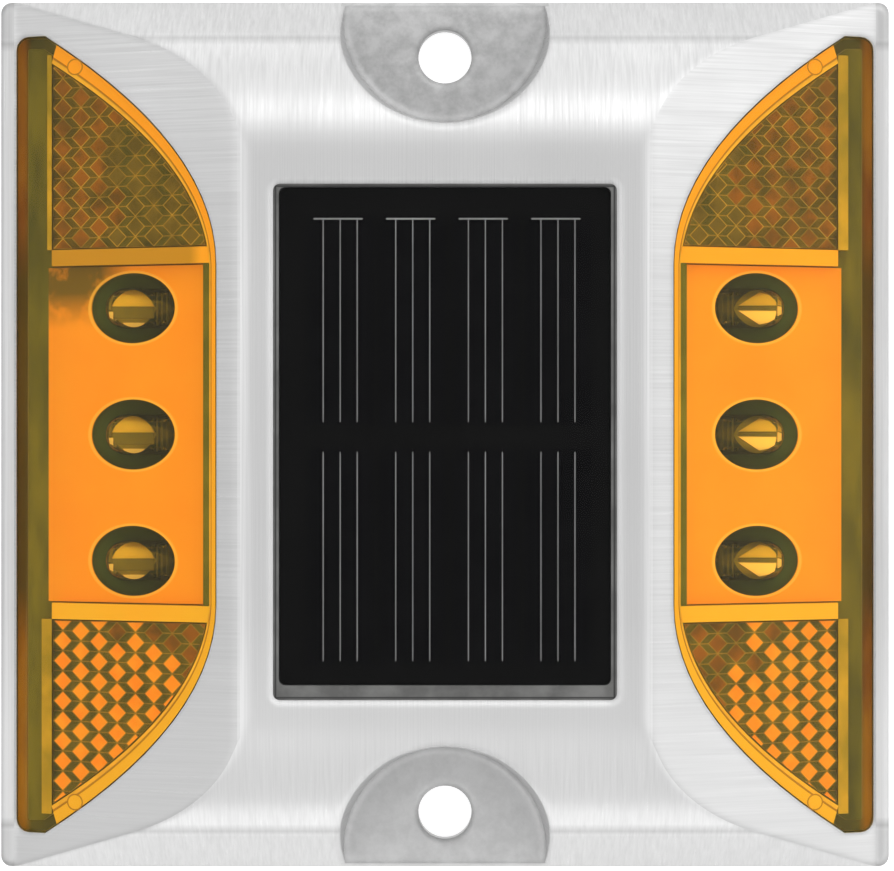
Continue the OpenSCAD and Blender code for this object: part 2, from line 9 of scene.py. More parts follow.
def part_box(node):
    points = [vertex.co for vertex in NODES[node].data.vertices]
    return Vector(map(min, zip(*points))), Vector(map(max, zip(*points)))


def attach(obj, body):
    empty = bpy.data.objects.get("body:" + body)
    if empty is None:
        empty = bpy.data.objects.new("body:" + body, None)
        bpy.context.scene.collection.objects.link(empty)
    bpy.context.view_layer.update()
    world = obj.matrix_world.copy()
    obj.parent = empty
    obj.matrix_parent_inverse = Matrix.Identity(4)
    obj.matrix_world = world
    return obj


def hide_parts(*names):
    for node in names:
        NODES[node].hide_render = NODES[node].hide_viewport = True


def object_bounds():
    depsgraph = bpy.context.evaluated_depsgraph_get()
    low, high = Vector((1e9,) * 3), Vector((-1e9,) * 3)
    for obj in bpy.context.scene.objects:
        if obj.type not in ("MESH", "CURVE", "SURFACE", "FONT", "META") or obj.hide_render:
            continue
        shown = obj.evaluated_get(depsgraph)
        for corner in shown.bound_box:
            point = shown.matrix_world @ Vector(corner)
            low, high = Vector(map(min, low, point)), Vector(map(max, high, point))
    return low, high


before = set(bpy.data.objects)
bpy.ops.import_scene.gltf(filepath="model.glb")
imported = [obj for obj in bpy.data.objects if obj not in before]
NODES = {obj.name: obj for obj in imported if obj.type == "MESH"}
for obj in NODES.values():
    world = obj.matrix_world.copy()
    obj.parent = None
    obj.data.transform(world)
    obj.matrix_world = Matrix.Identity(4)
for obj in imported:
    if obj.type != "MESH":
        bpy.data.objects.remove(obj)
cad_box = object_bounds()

MM = 0.001
LEFT, RIGHT = -1, 1
SIDES = (("left", LEFT), ("right", RIGHT))


# ---------- measures, from the frame where it gives them ----------

lens_lo, lens_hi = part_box("lens_right")
tray_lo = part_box("led_tray_right")[0]
panel_lo, panel_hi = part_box("panel_resin")
recess_lo, recess_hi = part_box("panel_sealant")

BEVEL = math.radians(35)        # slope of the lens faces
SLOPE = math.tan(BEVEL)
LENS_T = 1.2 * MM
LENS_GAP = 0.15 * MM            # between the lens and its pocket
LENS_IN = lens_lo.x - LENS_GAP
LENS_OUT = lens_hi.x + LENS_GAP
LENS_HALF = lens_hi.y + LENS_GAP
LENS_FLAT = 20.6 * MM           # half the straight middle part of the lens's inner edge
LENS_CURVE = 0.0266 / MM        # how fast that edge bends away past its straight part
LENS_CORNER = 1.6 * MM
LENS_CORNER_MIN = 0.3 * MM
SKIRT_Z = lens_lo.z             # underside of the lens moulding
RIM_W = 0.8 * MM
RIM_GROW = 1.5 * MM             # how much wider the rim gets towards its ends
RIB_IN = 20.8 * MM
RIB_W = 2.0 * MM
INNER_WALL_X = 48.6 * MM
INNER_WALL_W = 0.6 * MM
TRAY_DEPTH = 3.0 * MM           # of the tray face below the lens face
CUP_X = 38.3 * MM               # middle of the lamp cups
CUP_ACROSS = 4.3 * MM           # half width of a cup's opening along Y
CUP_ALONG = 5.35 * MM           # and along X, in plan
LED_PITCH = 15.5 * MM
LUG_CENTRE_Y = 51.2 * MM
LUG_R = 13.0 * MM
LUG_TOP = 4.0 * MM
HAIR = 0.02 * MM                # keeps two faces from lying in one plane


def face_z(x):
    """Height of the sloping lens face at a distance x from the middle."""
    return lens_hi.z - (abs(x) - lens_lo.x) * SLOPE


def drop(depth):
    """Vertical distance for a depth measured square to the lens face."""
    return depth / math.cos(BEVEL)


def edge_x(y, inset):
    """The curved inner edge of the lens in plan, drawn in by an inset."""
    past = max(0.0, abs(y) - LENS_FLAT)
    lean = 2 * LENS_CURVE * past
    return LENS_IN + LENS_CURVE * past * past + inset * math.sqrt(1 + lean * lean)


def inner_edge(inset, grow, steps):
    """Points of the inner edge from its lower end to its upper end."""
    end = LENS_HALF - inset - grow
    half = []
    for i in range(steps + 1):
        share = i / steps
        y = LENS_FLAT + (end - LENS_FLAT) * share
        half.append((edge_x(y, inset + grow * share), y))
    lower = [(x, -y) for x, y in reversed(half)]
    return lower + half


def lens_outline(inset, grow=0.0, steps=40):
    """Closed plan outline of the right-hand lens, anticlockwise from its lower inner end."""
    corner = max(LENS_CORNER - inset - grow, LENS_CORNER_MIN)
    end = LENS_HALF - inset - grow - corner
    side = LENS_OUT - inset - corner
    upper = []
    for i in range(9):
        angle = math.radians(90 - 90 * i / 8)
        upper.append((side + corner * math.cos(angle), end + corner * math.sin(angle)))
    lower = [(x, -y) for x, y in reversed(upper)]
    return inner_edge(inset, grow, steps) + upper + lower


# ---------- mesh helpers ----------

def rectangle(x0, y0, x1, y1):
    """Plan outline of a rectangle, anticlockwise."""
    return [(x0, y0), (x1, y0), (x1, y1), (x0, y1)]


class Shape:
    """Collects closed shells, each with a material number, and turns them into one object."""

    def __init__(self):
        self.bm = bmesh.new()

    def faces(self, rows, slot):
        """Adds faces given as lists of BMVerts."""
        for row in rows:
            face = self.bm.faces.new(row)
            face.material_index = slot

    def prism(self, outline, top, bottom, slot):
        """A solid over a plan outline; top and bottom are functions of x."""
        high = [self.bm.verts.new((x, y, top(x))) for x, y in outline]
        low = [self.bm.verts.new((x, y, bottom(x))) for x, y in outline]
        count = len(outline)
        sides = [[low[i], low[(i + 1) % count], high[(i + 1) % count], high[i]] for i in range(count)]
        self.faces([high, list(reversed(low))] + sides, slot)

    def wall(self, outer, inner, top, bottom, slot):
        """A strip of wall between two rows of plan points of the same length."""
        rings = []
        for (xo, yo), (xi, yi) in zip(outer, inner):
            ring = [(xo, yo, bottom(xo)), (xi, yi, bottom(xi)), (xi, yi, top(xi)), (xo, yo, top(xo))]
            rings.append([self.bm.verts.new(p) for p in ring])
        rows = [rings[0], list(reversed(rings[-1]))]
        for a, b in zip(rings, rings[1:]):
            rows += [[a[k], b[k], b[(k + 1) % 4], a[(k + 1) % 4]] for k in range(4)]
        self.faces(rows, slot)

    def revolve(self, profile, place, slot, steps=40):
        """A solid of revolution; profile is radius and length pairs, from axis to axis."""
        start = self.bm.verts.new(place @ Vector((0, 0, profile[0][1])))
        end = self.bm.verts.new(place @ Vector((0, 0, profile[-1][1])))
        rings = []
        for r, h in profile[1:-1]:
            ring = []
            for i in range(steps):
                angle = 2 * math.pi * i / steps
                point = Vector((r * math.cos(angle), r * math.sin(angle), h))
                ring.append(self.bm.verts.new(place @ point))
            rings.append(ring)
        rows = []
        for i in range(steps):
            j = (i + 1) % steps
            rows.append([start, rings[0][j], rings[0][i]])
            rows.append([end, rings[-1][i], rings[-1][j]])
            rows += [[a[i], a[j], b[j], b[i]] for a, b in zip(rings, rings[1:])]
        self.faces(rows, slot)

    def build(self, name, materials, side=RIGHT, bevel=0.0, smooth_angle=30):
        """Makes the object, mirrored to the left if asked, with its normals made consistent."""
        bm = self.bm
        if side == LEFT:
            for v in bm.verts:
                v.co.x = -v.co.x
        bmesh.ops.recalc_face_normals(bm, faces=bm.faces[:])
        mesh = bpy.data.meshes.new(name)
        bm.to_mesh(mesh)
        bm.free()
        for m in materials:
            mesh.materials.append(m)
        piece = bpy.data.objects.new(name, mesh)
        bpy.context.scene.collection.objects.link(piece)
        soften(piece, bevel, smooth_angle)
        return piece


def soften(piece, bevel=0.0, smooth_angle=30):
    """Smooth shading below an angle, and a small rounded edge if asked."""
    piece.data.polygons.foreach_set("use_smooth", [True] * len(piece.data.polygons))
    piece.data.set_sharp_from_angle(angle=math.radians(smooth_angle))
    if bevel > 0:
        mod = piece.modifiers.new("edges", "BEVEL")
        mod.width = bevel
        mod.segments = 2
        mod.limit_method = "ANGLE"
        mod.angle_limit = math.radians(35)
        mod.use_clamp_overlap = True


# ---------- material helpers ----------

class Look:
    """A node material that starts from one Principled shader."""

    def __init__(self, name, color=(0.5, 0.5, 0.5), roughness=0.4, metallic=0.0, specular=0.5):
        self.material = bpy.data.materials.new(name)
        self.material.use_nodes = True
        self.tree = self.material.node_tree
        self.shader = self.tree.nodes["Principled BSDF"]
        self.output = self.tree.nodes["Material Output"]
        self.shader.inputs["Base Color"].default_value = (*color, 1)
        self.shader.inputs["Roughness"].default_value = roughness
        self.shader.inputs["Metallic"].default_value = metallic
        self.shader.inputs["Specular IOR Level"].default_value = specular

    def node(self, kind, **inputs):
        """A new node, with its inputs named as in Blender but with _ for a space."""
        made = self.tree.nodes.new(kind)
        for key, value in inputs.items():
            self.feed(made.inputs[key.replace("_", " ")], value)
        return made

    def feed(self, socket, value):
        """Gives an input a constant, or links it to another node's output."""
        if isinstance(value, bpy.types.NodeSocket):
            self.tree.links.new(value, socket)
        else:
            socket.default_value = value

    def math(self, operation, a, b=0.0):
        made = self.tree.nodes.new("ShaderNodeMath")
        made.operation = operation
        self.feed(made.inputs[0], a)
        self.feed(made.inputs[1], b)
        return made.outputs[0]

    def length(self, a, b):
        """The length of a vector with two parts."""
        return self.math("SQRT", self.math("ADD", self.math("MULTIPLY", a, a), self.math("MULTIPLY", b, b)))

    def place(self):
        """The point on the object, in metres, as separate X, Y and Z."""
        coords = self.tree.nodes.new("ShaderNodeTexCoord")
        return self.node("ShaderNodeSeparateXYZ", Vector=coords.outputs["Object"]).outputs

    def facing(self):
        """The surface normal in the object's own axes, as separate X, Y and Z."""
        coords = self.tree.nodes.new("ShaderNodeTexCoord")
        return self.node("ShaderNodeSeparateXYZ", Vector=coords.outputs["Normal"]).outputs

    def grain(self, scale, detail=4.0, rough=0.55):
        """Noise whose scale may differ along X, Y and Z, in features per metre."""
        coords = self.tree.nodes.new("ShaderNodeTexCoord")
        stretch = self.node("ShaderNodeMapping", Vector=coords.outputs["Object"], Scale=scale)
        return self.node(
            "ShaderNodeTexNoise", Vector=stretch.outputs[0], Scale=1.0, Detail=detail, Roughness=rough
        ).outputs["Fac"]

    def spread(self, value, low, high, out_low=0.0, out_high=1.0):
        """Maps a value from one range to another, clamped."""
        made = self.tree.nodes.new("ShaderNodeMapRange")
        limits = {"From Min": low, "From Max": high, "To Min": out_low, "To Max": out_high}
        for key, number in limits.items():
            self.feed(made.inputs[key], number)
        self.feed(made.inputs["Value"], value)
        return made.outputs["Result"]

    def blend(self, factor, a, b):
        """Mixes two colours."""
        made = self.tree.nodes.new("ShaderNodeMix")
        made.data_type = "RGBA"
        self.feed(made.inputs["Factor"], factor)
        self.feed(made.inputs["A"], (*a, 1) if isinstance(a, tuple) else a)
        self.feed(made.inputs["B"], (*b, 1) if isinstance(b, tuple) else b)
        return made.outputs["Result"]

    def color(self, socket):
        self.feed(self.shader.inputs["Base Color"], socket)

    def roughness(self, socket):
        self.feed(self.shader.inputs["Roughness"], socket)

    def bump(self, height, distance, strength=0.5, normal=None):
        """Fine relief, on the surface's own normal or on the one given."""
        made = self.node("ShaderNodeBump", Height=height, Distance=distance, Strength=strength)
        if normal:
            self.feed(made.inputs["Normal"], normal)
        self.feed(self.shader.inputs["Normal"], made.outputs["Normal"])


def moulded(name, color, roughness=0.45, scale=900.0, depth=0.03 * MM, vary=0.12, specular=0.5):
    """Plastic or rubber with a fine skin, faint blotches and uneven gloss."""
    look = Look(name, color, roughness, specular=specular)
    skin = look.grain((scale, scale, scale), detail=3.0)
    cloud = look.grain((120.0, 120.0, 120.0), detail=2.0)
    dark = tuple(c * (1 - vary) for c in color)
    light = tuple(min(1.0, c * (1 + vary)) for c in color)
    look.color(look.blend(look.spread(cloud, 0.35, 0.65), dark, light))
    look.roughness(look.spread(skin, 0.3, 0.7, roughness * 0.85, min(1.0, roughness * 1.15)))
    look.bump(skin, depth, 0.4)
    return look.material


def clear(name, tint, gloss_roughness=0.04, ior=1.5, gloss=1.0, scratch=0.0):
    """A clear tinted wall that light passes straight through, with a glossy skin."""
    look = Look(name)
    see = look.node("ShaderNodeBsdfTransparent", Color=(*tint, 1))
    shine = look.node("ShaderNodeBsdfGlossy", Color=(1, 1, 1, 1), Roughness=gloss_roughness)
    edge = look.node("ShaderNodeFresnel", IOR=ior)
    if scratch > 0:
        marks = look.grain((700.0, 90.0, 700.0), detail=5.0)
        bump = look.node("ShaderNodeBump", Height=marks, Distance=scratch, Strength=0.35)
        look.feed(shine.inputs["Normal"], bump.outputs["Normal"])
    amount = look.math("MULTIPLY", edge.outputs[0], gloss)
    mix = look.node("ShaderNodeMixShader", Fac=amount)
    look.feed(mix.inputs[1], see.outputs[0])
    look.feed(mix.inputs[2], shine.outputs[0])
    look.feed(look.output.inputs["Surface"], mix.outputs[0])
    look.tree.nodes.remove(look.shader)
    return look.material


# ---------- materials ----------

def cast_aluminium():
    """Brushed along Y on the top and shoulders, along X on the lens slopes, as cast in the lugs; painted
    light makes the front lighter and painted shade darkens the slopes and the lug edge strips.
    """
    look = Look("cast_aluminium", (0.6, 0.6, 0.6), 0.36, metallic=1.0)
    x, y, z = look.place()
    nx, _, nz = look.facing()
    along_y = look.grain((3800.0, 30.0, 300.0), detail=4.0, rough=0.6)
    along_x = look.grain((40.0, 3800.0, 60.0), detail=4.0, rough=0.6)
    on_slope = look.spread(look.math("ABSOLUTE", nx), 0.28, 0.42)
    off_slope = look.math("SUBTRACT", 1.0, on_slope)
    brushed = look.math("ADD", look.math("MULTIPLY", along_x, on_slope),
                        look.math("MULTIPLY", along_y, off_slope))
    cloud = look.grain((60.0, 25.0, 60.0), detail=3.0)
    metal = look.blend(look.spread(brushed, 0.3, 0.7), (0.575, 0.575, 0.575), (0.695, 0.695, 0.695))
    metal = look.blend(look.spread(cloud, 0.35, 0.7, 0.0, 0.3), metal, (0.50, 0.50, 0.50))
    painted_shade_grey = (0.34, 0.34, 0.34)
    # painted light makes it lighter towards the front, and painted shade darkens the slopes away from their
    # back ends
    metal = look.blend(look.spread(y, -22.0 * MM, -36.0 * MM, 0.0, 0.35), metal, (0.82, 0.82, 0.82))
    slope_painted_shade = look.math("MULTIPLY", on_slope, look.spread(y, 40.0 * MM, 20.0 * MM, 0.1, 0.4))
    metal = look.blend(slope_painted_shade, metal, painted_shade_grey)
    # painted shade darkens the strip along each lug edge, with a soft dark line of painted shade where it
    # begins
    out = look.math("ABSOLUTE", y)
    strip = look.spread(out, 48.0 * MM, 49.2 * MM, 0.0, 0.35)
    from_line = look.math("ABSOLUTE", look.math("SUBTRACT", out, 48.4 * MM))
    line = look.spread(from_line, 0.0, 1.0 * MM, 0.6, 0.0)
    painted_shade = look.math("MULTIPLY", look.math("MAXIMUM", strip, line), off_slope)
    metal = look.blend(painted_shade, metal, painted_shade_grey)
    # the lug pockets keep their cast skin
    reach = look.length(x, look.math("SUBTRACT", out, LUG_CENTRE_Y))
    in_lug = look.math("MULTIPLY", look.math("LESS_THAN", reach, LUG_R),
                       look.math("LESS_THAN", z, LUG_TOP + 0.15 * MM))
    mottle = look.grain((420.0, 420.0, 420.0), detail=6.0, rough=0.7)
    pits = look.grain((1900.0, 1900.0, 1900.0), detail=3.0)
    cast = look.blend(look.spread(mottle, 0.38, 0.62), (0.42, 0.42, 0.42), (0.56, 0.56, 0.56))
    # painted light: the cast skin is lighter towards the front
    cast = look.blend(look.spread(y, 0.0, -40.0 * MM, 0.0, 0.3), cast, (0.75, 0.75, 0.75))
    below = look.spread(nz, -0.6, -0.9)
    as_cast = look.math("MAXIMUM", in_lug, below)
    look.color(look.blend(as_cast, metal, cast))
    shiny = look.spread(brushed, 0.3, 0.7, 0.42, 0.27)
    rough = look.spread(mottle, 0.3, 0.7, 0.42, 0.6)
    either = look.math("ADD", look.math("MULTIPLY", rough, as_cast),
                       look.math("MULTIPLY", shiny, look.math("SUBTRACT", 1.0, as_cast)))
    look.roughness(either)
    relief = look.math("ADD", look.math("MULTIPLY", pits, as_cast), brushed)
    # rounds the shading of the casting's edges, over which the brushing runs on
    rounded = look.node("ShaderNodeBevel", Radius=1.6 * MM)
    rounded.samples = 6
    look.bump(relief, 0.012 * MM, 0.3, rounded.outputs["Normal"])
    return look.material


def tray_plastic():
    """Orange tray face with a painted highlight on each cup's lip; the lamp cups below the face are dark,
    partly their own colour and partly painted shade that deepens inside them.
    """
    look = Look("orange_tray", (0.98, 0.42, 0.05), 0.45, specular=0.15)
    x, y, z = look.place()
    away = look.math("ABSOLUTE", x)
    face = look.math("ADD", look.math("MULTIPLY", away, SLOPE), z)
    level = lens_hi.z + lens_lo.x * SLOPE - drop(TRAY_DEPTH)
    sunk = look.spread(face, level - 0.12 * MM, level - 0.04 * MM, 1.0, 0.0)
    cloud = look.grain((90.0, 90.0, 90.0), detail=3.0)
    speck = look.grain((1500.0, 1500.0, 1500.0), detail=2.0)
    orange = look.blend(look.spread(cloud, 0.3, 0.7), (1.0, 0.47, 0.07), (1.0, 0.42, 0.05))
    # a grubby corner where the tray meets the skirt, on one side only
    near = look.math("MULTIPLY", look.spread(x, -38.5 * MM, -42.5 * MM),
                     look.spread(y, 13.0 * MM, 17.5 * MM))
    patches = look.grain((260.0, 260.0, 260.0), 5.0)
    grime = look.math("MULTIPLY", near, look.spread(patches, 0.30, 0.50))
    orange = look.blend(grime, orange, (0.15, 0.12, 0.03))
    # a painted highlight on the lip round each cup, and painted shade that deepens inside it
    between = look.math("PINGPONG", look.math("ADD", y, 1.5 * LED_PITCH), LED_PITCH / 2)
    across = look.math("SUBTRACT", LED_PITCH / 2, between)
    wide = look.math("DIVIDE", across, CUP_ACROSS)
    long = look.math("DIVIDE", look.math("SUBTRACT", away, CUP_X), CUP_ALONG)
    ring = look.length(wide, long)
    from_lip = look.math("ABSOLUTE", look.math("SUBTRACT", ring, 1.035))
    lip = look.spread(from_lip, 0.02, 0.05, 0.75, 0.0)
    orange = look.blend(lip, orange, (1.0, 0.72, 0.42))
    shade = look.blend(look.spread(ring, 0.80, 0.99), (0.035, 0.085, 0.085), (0.016, 0.035, 0.03))
    look.color(look.blend(sunk, orange, shade))
    look.roughness(look.spread(cloud, 0.3, 0.7, 0.34, 0.5))
    look.bump(speck, 0.02 * MM, 0.3)
    return look.material


def potting_resin():
    """Cured resin on the pocket floor, dark in the middle, browner at the outer edge and green at the inner
    edge; the outer brown is its own colour made lighter by painted light, and the inner green is painted
    light where the slot lies in shade.
    """
    look = Look("potting_resin", (0.05, 0.09, 0.12), 0.3, specular=0.2)
    x, _, _ = look.place()
    away = look.math("ABSOLUTE", x)
    band = look.spread(away, 51.6 * MM, 52.0 * MM)
    ripple = look.grain((260.0, 60.0, 260.0), detail=5.0)
    deep = look.blend(look.spread(ripple, 0.35, 0.65), (0.04, 0.065, 0.03), (0.17, 0.20, 0.06))
    # the outer brown is made lighter as painted light against the wall's shade
    brown = look.blend(look.spread(ripple, 0.35, 0.65), (0.42, 0.27, 0.26), (0.58, 0.42, 0.22))
    # painted light: a lighter green towards the inner edge, where the slot lies in shade
    deep = look.blend(look.spread(away, 32.5 * MM, 30.5 * MM), deep, (0.50, 0.60, 0.18))
    look.color(look.blend(band, deep, brown))
    look.bump(ripple, 0.2 * MM, 0.5)
    return look.material


def brown_sealant():
    """Seal under the lens edge: brown to yellow at the outer ends, dark olive elsewhere."""
    look = Look("brown_sealant", (0.3, 0.17, 0.08), 0.5, specular=0.2)
    x, y, _ = look.place()
    outer = look.spread(look.math("ABSOLUTE", x), 51.3 * MM, 52.2 * MM)
    drift = look.grain((150.0, 45.0, 150.0), detail=4.0)
    warm = look.blend(look.spread(drift, 0.36, 0.60), (0.20, 0.085, 0.04), (0.40, 0.24, 0.075))
    dark = look.blend(look.spread(drift, 0.36, 0.60), (0.04, 0.055, 0.015), (0.10, 0.12, 0.03))
    beside_tray = look.spread(look.math("ABSOLUTE", y), 26.0 * MM, 19.0 * MM, 0.0, 0.85)
    tone = look.blend(outer, dark, warm)
    look.color(look.blend(beside_tray, tone, (0.05, 0.055, 0.025)))
    look.bump(drift, 0.15 * MM, 0.4)
    return look.material


def prism(name, low, high, roughness=0.16):
    """One kind of cube-corner facet, with cloudy tone from facet to facet."""
    look = Look(name, low, roughness, specular=0.15)
    cloud = look.grain((330.0, 330.0, 330.0), detail=4.0)
    look.color(look.blend(look.spread(cloud, 0.36, 0.62), low, high))
    look.bump(look.grain((1200.0, 1200.0, 1200.0)), 0.02 * MM, 0.3)
    return look.material


def rim_plastic():
    """The lens rim and ribs: orange towards the upper end, yellower towards the lower."""
    look = Look("lens_rim", (0.95, 0.62, 0.1), 0.22, specular=0.25)
    x, y, _ = look.place()
    flow = look.grain((130.0, 130.0, 130.0), detail=5.0)
    drift = look.math("ADD", y, look.math("MULTIPLY", look.math("SUBTRACT", flow, 0.5), 60 * MM))
    tone = look.blend(look.spread(drift, -26 * MM, 34 * MM), (0.90, 0.64, 0.13), (1.0, 0.53, 0.06))
    # the upper rib on the left is darker
    margin = 0.2 * MM
    rib_out = RIB_IN + RIB_W
    on_rib = look.math("MULTIPLY", look.spread(y, RIB_IN - margin, RIB_IN),
                       look.spread(y, rib_out + margin, rib_out))
    on_left = look.spread(x, -29.5 * MM, -31.0 * MM, 0.0, 0.8)
    look.color(look.blend(look.math("MULTIPLY", on_rib, on_left), tone, (0.42, 0.30, 0.05)))
    look.bump(look.grain((500.0, 500.0, 500.0)), 0.03 * MM, 0.3)
    return look.material


def frame_plastic(name, low, high, roughness=0.22, painted_glow=0.0):
    """The thick walls of the lens moulding and the lamp cores, in which light gathers, with a painted glow
    if asked.
    """
    look = Look(name, low, roughness, specular=0.25)
    flow = look.grain((160.0, 160.0, 160.0), detail=4.0)
    look.color(look.blend(look.spread(flow, 0.34, 0.66), low, high))
    look.bump(look.grain((500.0, 500.0, 500.0)), 0.03 * MM, 0.3)
    look.shader.inputs["Subsurface Weight"].default_value = 0.15
    look.shader.inputs["Subsurface Radius"].default_value = (2 * MM, 1 * MM, 0.3 * MM)
    # painted glow: emission on a lamp part that is not lit
    if painted_glow > 0:
        look.shader.inputs["Emission Color"].default_value = (1, 0.7, 0.4, 1)
        look.shader.inputs["Emission Strength"].default_value = painted_glow
    return look.material


def cell_silicon():
    """Near-black cells with a faint crystalline shimmer."""
    look = Look("cell_silicon", (0.003, 0.003, 0.004), 0.35, specular=0.035)
    grain = look.grain((300.0, 300.0, 300.0), detail=2.0)
    look.color(look.blend(look.spread(grain, 0.4, 0.6), (0.002, 0.002, 0.0025), (0.0035, 0.0035, 0.004)))
    return look.material


def turned_steel():
    """Bright steel with fine turning marks."""
    color = (0.72, 0.72, 0.74)
    look = Look("turned_steel", color, 0.3, metallic=1.0)
    rings = look.grain((1500.0, 1500.0, 200.0), detail=3.0)
    dark = tuple(c * 0.8 for c in color)
    look.color(look.blend(look.spread(rings, 0.35, 0.65), dark, color))
    look.roughness(look.spread(rings, 0.3, 0.7, 0.24, 0.42))
    look.bump(rings, 0.02 * MM, 0.4)
    return look.material


def sealant_bead():
    """Grey silicone with darker tool lines along its edges."""
    look = Look("grey_sealant", (0.16, 0.16, 0.155), 0.35)
    x, y, _ = look.place()
    middle = (recess_lo + recess_hi) / 2
    half = (recess_hi - recess_lo) / 2
    dx = look.math("ABSOLUTE", look.math("SUBTRACT", x, middle.x))
    dy = look.math("ABSOLUTE", look.math("SUBTRACT", y, middle.y))
    inside = look.math("MINIMUM", look.math("SUBTRACT", half.x, dx), look.math("SUBTRACT", half.y, dy))
    line = look.math("ABSOLUTE", look.math("SUBTRACT", inside, 0.28 * MM))
    dark = look.spread(line, 0.04 * MM, 0.14 * MM, 1.0, 0.0)
    cloud = look.grain((240.0, 240.0, 240.0), detail=4.0)
    grey = look.blend(look.spread(cloud, 0.35, 0.65), (0.085, 0.085, 0.082), (0.16, 0.16, 0.155))
    look.color(look.blend(dark, grey, (0.015, 0.015, 0.015)))
    look.bump(cloud, 0.15 * MM, 0.5)
    return look.material


def board_mask():
    """Green solder mask with darker tracks."""
    look = Look("solder_mask", (0.02, 0.12, 0.05), 0.3)
    coords = look.tree.nodes.new("ShaderNodeTexCoord")
    tracks = look.node("ShaderNodeTexBrick", Vector=coords.outputs["Object"], Scale=260.0)
    tracks.inputs["Mortar Size"].default_value = 0.05
    look.color(look.blend(tracks.outputs["Fac"], (0.015, 0.10, 0.04), (0.035, 0.20, 0.08)))
    look.bump(tracks.outputs["Fac"], 0.05 * MM, 0.4)
    return look.material


aluminium = cast_aluminium()
lens_clear = clear("lens_clear", (1.0, 0.89, 0.52), 0.05, 1.49, 0.22, scratch=0.02 * MM)
lens_rim = rim_plastic()
lens_wall = frame_plastic("lens_wall", (0.42, 0.22, 0.04), (0.55, 0.30, 0.05), 0.3)
lens_lip = frame_plastic("lens_lip", (0.08, 0.12, 0.03), (0.15, 0.19, 0.05), 0.2)
lens_inner = frame_plastic("lens_inner", (0.28, 0.27, 0.05), (0.60, 0.47, 0.10), 0.15)
lens_line = frame_plastic("lens_line", (0.75, 0.52, 0.14), (1.0, 0.72, 0.24), 0.15)
tray_orange = tray_plastic()
potting = potting_resin()
lens_sealant = brown_sealant()
# prism facets: painted reflection on the bright ones, painted shade on the dark, olive and valley ones, and
# a painted highlight on the lit edges
prism_painted_reflection = prism("prism_painted_reflection", (1.0, 0.36, 0.05), (1.0, 0.46, 0.09))
prism_painted_shade = prism("prism_painted_shade", (0.10, 0.055, 0.012), (0.28, 0.115, 0.018))
prism_olive = prism("prism_olive", (0.085, 0.08, 0.035), (0.16, 0.14, 0.065))
prism_valley = prism("prism_valley", (0.045, 0.06, 0.022), (0.11, 0.115, 0.04))
prism_valley_warm = prism("prism_valley_warm", (0.055, 0.055, 0.014), (0.12, 0.10, 0.024))
prism_edge = prism("prism_edge", (0.20, 0.16, 0.05), (0.34, 0.25, 0.08), 0.12)
prism_edge_lit = prism("prism_edge_lit", (0.36, 0.28, 0.08), (0.58, 0.43, 0.13), 0.12)
led_clear = clear("led_clear", (0.97, 0.93, 0.80), 0.03, 1.5, 1.0)
# lamp cores: an amber painted reflection, a painted glint that glows, painted shade and a darker olive
# painted reflection
led_painted_reflection = frame_plastic("led_painted_reflection", (0.80, 0.66, 0.22), (0.95, 0.78, 0.30), 0.15)
led_painted_glint = frame_plastic("led_painted_glint", (1.0, 0.78, 0.45), (1.0, 0.85, 0.6), 0.1, painted_glow=0.45)
led_shade = frame_plastic("led_shade", (0.13, 0.15, 0.08), (0.20, 0.21, 0.10), 0.2)
led_olive = frame_plastic("led_olive", (0.28, 0.30, 0.09), (0.42, 0.40, 0.12), 0.2)
panel_clear = clear("panel_clear", (0.90, 0.90, 0.90), 0.03, 1.45, 0.1)
cells = cell_silicon()
panel_board = moulded("panel_board", (0.004, 0.004, 0.004), 0.5, specular=0.05)
silver_lines = moulded("silver_lines", (0.36, 0.36, 0.355), 0.35)
steel = turned_steel()
sealant = sealant_bead()
solder_mask = board_mask()
black_plastic = moulded("black_plastic", (0.025, 0.025, 0.027), 0.5, 1400.0)
black_rubber = moulded("black_rubber", (0.018, 0.018, 0.018), 0.7, 1000.0)
white_plastic = moulded("white_plastic", (0.72, 0.72, 0.68), 0.45)
red_wire = moulded("red_wire", (0.42, 0.02, 0.015), 0.35)
ferrite = moulded("ferrite", (0.05, 0.05, 0.055), 0.75, 1800.0, 0.06 * MM)
blue_sleeve = moulded("blue_sleeve", (0.03, 0.05, 0.17), 0.25)
green_sleeve = moulded("green_sleeve", (0.02, 0.22, 0.08), 0.25)
brown_body = moulded("brown_body", (0.05, 0.04, 0.03), 0.6)

CAD_LOOKS = {
    "housing": aluminium, "base_cover": black_plastic, "base_gasket": black_rubber, "base_screws": steel,
    "panel_substrate": panel_board, "solar_cells": cells, "cell_fingers": silver_lines,
    "panel_sealant": sealant, "panel_wires": red_wire,
    "led_tray_left": tray_orange, "led_tray_right": tray_orange,
    "led_board_left": solder_mask, "led_board_right": solder_mask,
    "lens_seal_left": lens_sealant, "lens_seal_right": lens_sealant,
    "lens_potting_left": potting, "lens_potting_right": potting,
    "wire_grommet_left": black_rubber, "wire_grommet_right": black_rubber,
    "led_wires_left": red_wire, "led_wires_right": red_wire,
    "control_board": solder_mask, "board_screws": steel, "control_chip": black_plastic,
    "inductor": ferrite, "capacitor": blue_sleeve, "resistors": brown_body,
    "battery": green_sleeve, "battery_terminal": steel, "battery_cradle": white_plastic,
    "battery_wires": red_wire, "switch_body": black_plastic, "switch_stem": white_plastic,
    "switch_button": black_rubber,
}

# width of the rounded edge on the nodes that show one
SOFT_EDGES = {"housing": 0.35 * MM, "base_cover": 0.15 * MM}


